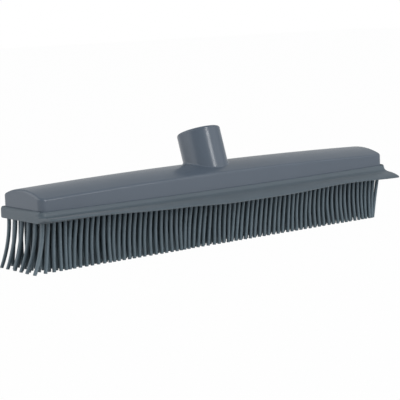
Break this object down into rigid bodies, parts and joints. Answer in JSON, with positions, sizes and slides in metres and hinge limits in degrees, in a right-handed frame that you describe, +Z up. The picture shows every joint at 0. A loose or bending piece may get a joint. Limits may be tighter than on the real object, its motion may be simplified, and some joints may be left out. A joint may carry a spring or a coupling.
{
  "type": "rubber broom head",
  "caption": "Rubber push-broom head: domed plastic block with a leaning threaded handle socket, staggered rubber bristles and a squeegee lip along the front.",
  "frame": {"origin": "on the floor, under the middle of the bristle field", "axes": "+X along the head, -Y towards the squeegee lip, +Y the way the handle leans, +Z up"},
  "size_m": [0.3252, 0.0706, 0.0861],
  "materials": {
    "cover_plastic": "satin, slate grey",
    "plate_plastic": "matte",
    "rubber": "matte, slate grey",
    "screw_steel": "zinc plated"
  },
  "bodies": {
    "block": {"top_cover": "cover_plastic", "base_plate": "plate_plastic", "cover_screws": "screw_steel", "rubber_mat": "rubber"},
    "lip": {"squeegee_lip": "rubber"},
    "bristle_row_01": {"bristle_row_01": "rubber"},
    "bristle_row_02": {"bristle_row_02": "rubber"},
    "bristle_row_03": {"bristle_row_03": "rubber"},
    "bristle_row_04": {"bristle_row_04": "rubber"},
    "bristle_row_05": {"bristle_row_05": "rubber"},
    "bristle_row_06": {"bristle_row_06": "rubber"},
    "bristle_row_07": {"bristle_row_07": "rubber"},
    "bristle_row_08": {"bristle_row_08": "rubber"},
    "bristle_row_09": {"bristle_row_09": "rubber"},
    "bristle_row_10": {"bristle_row_10": "rubber"},
    "bristle_row_11": {"bristle_row_11": "rubber"}
  },
  "joints": [
    {"name": "lip_flex", "type": "hinge", "parent": "block", "child": "lip", "pos_m": [0, -0.0295, 0.0367], "axis": [1, 0, 0], "range_deg": [-35, 35], "stiffness_Nm_per_rad": 0.3},
    {"name": "bristle_row_01_flex", "type": "hinge", "parent": "block", "child": "bristle_row_01", "pos_m": [0, -0.0219, 0.03245], "axis": [1, 0, 0], "range_deg": [-25, 25], "stiffness_Nm_per_rad": 0.07},
    {"name": "bristle_row_02_flex", "type": "hinge", "parent": "block", "child": "bristle_row_02", "pos_m": [0, -0.01752, 0.03245], "axis": [1, 0, 0], "range_deg": [-25, 25], "stiffness_Nm_per_rad": 0.07},
    {"name": "bristle_row_03_flex", "type": "hinge", "parent": "block", "child": "bristle_row_03", "pos_m": [0, -0.01314, 0.03245], "axis": [1, 0, 0], "range_deg": [-25, 25], "stiffness_Nm_per_rad": 0.07},
    {"name": "bristle_row_04_flex", "type": "hinge", "parent": "block", "child": "bristle_row_04", "pos_m": [0, -0.00876, 0.03245], "axis": [1, 0, 0], "range_deg": [-25, 25], "stiffness_Nm_per_rad": 0.07},
    {"name": "bristle_row_05_flex", "type": "hinge", "parent": "block", "child": "bristle_row_05", "pos_m": [0, -0.00438, 0.03245], "axis": [1, 0, 0], "range_deg": [-25, 25], "stiffness_Nm_per_rad": 0.07},
    {"name": "bristle_row_06_flex", "type": "hinge", "parent": "block", "child": "bristle_row_06", "pos_m": [0, 0, 0.03245], "axis": [1, 0, 0], "range_deg": [-25, 25], "stiffness_Nm_per_rad": 0.07},
    {"name": "bristle_row_07_flex", "type": "hinge", "parent": "block", "child": "bristle_row_07", "pos_m": [0, 0.00438, 0.03245], "axis": [1, 0, 0], "range_deg": [-25, 25], "stiffness_Nm_per_rad": 0.07},
    {"name": "bristle_row_08_flex", "type": "hinge", "parent": "block", "child": "bristle_row_08", "pos_m": [0, 0.00876, 0.03245], "axis": [1, 0, 0], "range_deg": [-25, 25], "stiffness_Nm_per_rad": 0.07},
    {"name": "bristle_row_09_flex", "type": "hinge", "parent": "block", "child": "bristle_row_09", "pos_m": [0, 0.01314, 0.03245], "axis": [1, 0, 0], "range_deg": [-25, 25], "stiffness_Nm_per_rad": 0.07},
    {"name": "bristle_row_10_flex", "type": "hinge", "parent": "block", "child": "bristle_row_10", "pos_m": [0, 0.01752, 0.03245], "axis": [1, 0, 0], "range_deg": [-25, 25], "stiffness_Nm_per_rad": 0.07},
    {"name": "bristle_row_11_flex", "type": "hinge", "parent": "block", "child": "bristle_row_11", "pos_m": [0, 0.0219, 0.03245], "axis": [1, 0, 0], "range_deg": [-25, 25], "stiffness_Nm_per_rad": 0.07}
  ],
  "couplings": [
    {"joint": "bristle_row_01_flex", "follows": "bristle_row_06_flex", "ratio": 1},
    {"joint": "bristle_row_02_flex", "follows": "bristle_row_06_flex", "ratio": 1},
    {"joint": "bristle_row_03_flex", "follows": "bristle_row_06_flex", "ratio": 1},
    {"joint": "bristle_row_04_flex", "follows": "bristle_row_06_flex", "ratio": 1},
    {"joint": "bristle_row_05_flex", "follows": "bristle_row_06_flex", "ratio": 1},
    {"joint": "bristle_row_07_flex", "follows": "bristle_row_06_flex", "ratio": 1},
    {"joint": "bristle_row_08_flex", "follows": "bristle_row_06_flex", "ratio": 1},
    {"joint": "bristle_row_09_flex", "follows": "bristle_row_06_flex", "ratio": 1},
    {"joint": "bristle_row_10_flex", "follows": "bristle_row_06_flex", "ratio": 1},
    {"joint": "bristle_row_11_flex", "follows": "bristle_row_06_flex", "ratio": 1}
  ]
}
